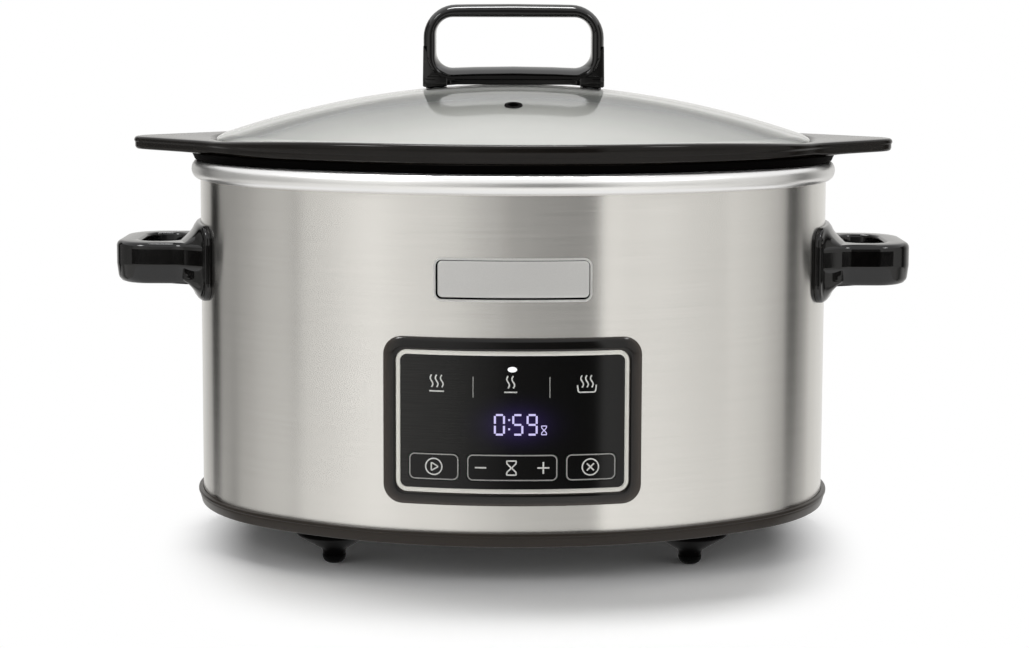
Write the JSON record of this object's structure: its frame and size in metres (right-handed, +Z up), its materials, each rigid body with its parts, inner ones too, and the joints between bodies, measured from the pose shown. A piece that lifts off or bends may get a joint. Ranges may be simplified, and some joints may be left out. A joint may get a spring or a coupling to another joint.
{
  "type": "slow cooker",
  "caption": "Oval countertop slow cooker: brushed steel body with a curved key panel and loop handles, lift-out cast pot with ears, domed glass lid.",
  "frame": {"origin": "on the table, under the middle of the whole part's bounding box", "axes": "+Z up, front with the control panel towards -Y, side handles along X"},
  "size_m": [0.415, 0.251, 0.2758],
  "materials": {
    "sleeve_steel": "horizontal brush",
    "ring_metal": "satin",
    "base_plastic": "satin",
    "bottom_paint": "matt",
    "foot_plastic": "satin",
    "rubber": "matt",
    "well_metal": "satin",
    "zinc_screws": "zinc plated",
    "spring_steel": "drawn wire",
    "heater_mica": "mica and fibre",
    "fuse_ceramic": "matt",
    "lead_sleeving": "woven glass sleeving",
    "board_laminate": "solder mask",
    "relay_case": "satin",
    "transformer_tape": "taped",
    "capacitor_sleeve": "satin",
    "ribbon": "satin",
    "gland_plastic": "satin",
    "handle_plastic": "gloss",
    "gloss_black": "high gloss",
    "trim_silver": "satin chrome",
    "display_black": "gloss",
    "led_diffuser": "diffuse",
    "switch_plastic": "satin",
    "plunger_plastic": "satin",
    "pot_coating": "cast, black non-stick coat",
    "lid_glass": "clear tempered",
    "vent_plastic": "satin"
  },
  "bodies": {
    "base": {"outer_sleeve": "sleeve_steel", "rear_seam_strip": "sleeve_steel", "top_ring": "ring_metal", "base_ring": "base_plastic", "bottom_plate": "bottom_paint", "foot_front_left": "foot_plastic", "foot_front_right": "foot_plastic", "foot_rear_left": "foot_plastic", "foot_rear_right": "foot_plastic", "foot_pads": "rubber", "foot_screws": "zinc_screws", "bottom_screws": "zinc_screws", "heating_well": "well_metal", "heating_band": "heater_mica", "heater_strap": "well_metal", "thermal_fuse": "fuse_ceramic", "fuse_clip": "well_metal", "pot_sensor": "well_metal", "sensor_spring": "spring_steel", "sensor_bracket": "well_metal", "tie_rods": "zinc_screws", "tie_nuts": "zinc_screws", "heater_leads": "lead_sleeving", "power_board": "board_laminate", "power_board_screws": "zinc_screws", "relay": "relay_case", "transformer": "transformer_tape", "capacitors": "capacitor_sleeve", "ribbon_cable": "ribbon", "cord_gland": "gland_plastic", "gland_nut": "gland_plastic", "side_handle_left": "handle_plastic", "side_handle_right": "handle_plastic", "handle_plates": "well_metal", "handle_screws": "zinc_screws", "badge_plate": "sleeve_steel", "panel_bezel": "gloss_black", "panel_trim": "trim_silver", "panel_fascia": "gloss_black", "panel_clips": "well_metal", "control_board": "board_laminate", "control_board_screws": "zinc_screws", "display_module": "display_black", "indicator_lights": "led_diffuser", "key_switches": "switch_plastic", "timer_key_pin": "zinc_screws"},
    "start_key_body": {"start_key": "gloss_black", "start_plunger": "plunger_plastic"},
    "timer_key_body": {"timer_key": "gloss_black", "timer_plungers": "plunger_plastic"},
    "cancel_key_body": {"cancel_key": "gloss_black", "cancel_plunger": "plunger_plastic"},
    "pot": {"cooking_pot": "pot_coating"},
    "lid": {"glass_lid": "lid_glass", "lid_handle": "handle_plastic", "lid_gaskets": "rubber", "lid_screws": "zinc_screws", "vent_eyelet": "vent_plastic"}
  },
  "joints": [
    {"name": "pot_lift", "type": "slide", "parent": "base", "child": "pot", "axis": [0, 0, 1], "range_m": [0, 0.16]},
    {"name": "lid_lift", "type": "slide", "parent": "pot", "child": "lid", "axis": [0, 0, 1], "range_m": [0, 0.12]},
    {"name": "start_press", "type": "slide", "parent": "base", "child": "start_key_body", "axis": [0, 1, 0], "range_m": [0, 0.0005], "stiffness_N_per_m": 300, "springref_m": -0.0006},
    {"name": "cancel_press", "type": "slide", "parent": "base", "child": "cancel_key_body", "axis": [0, 1, 0], "range_m": [0, 0.0005], "stiffness_N_per_m": 300, "springref_m": -0.0006},
    {"name": "timer_rock", "type": "hinge", "parent": "base", "child": "timer_key_body", "pos_m": [0, -0.112, 0.05695], "axis": [0, 0, 1], "range_deg": [-1.2, 1.2], "stiffness_Nm_per_rad": 0.5}
  ]
}
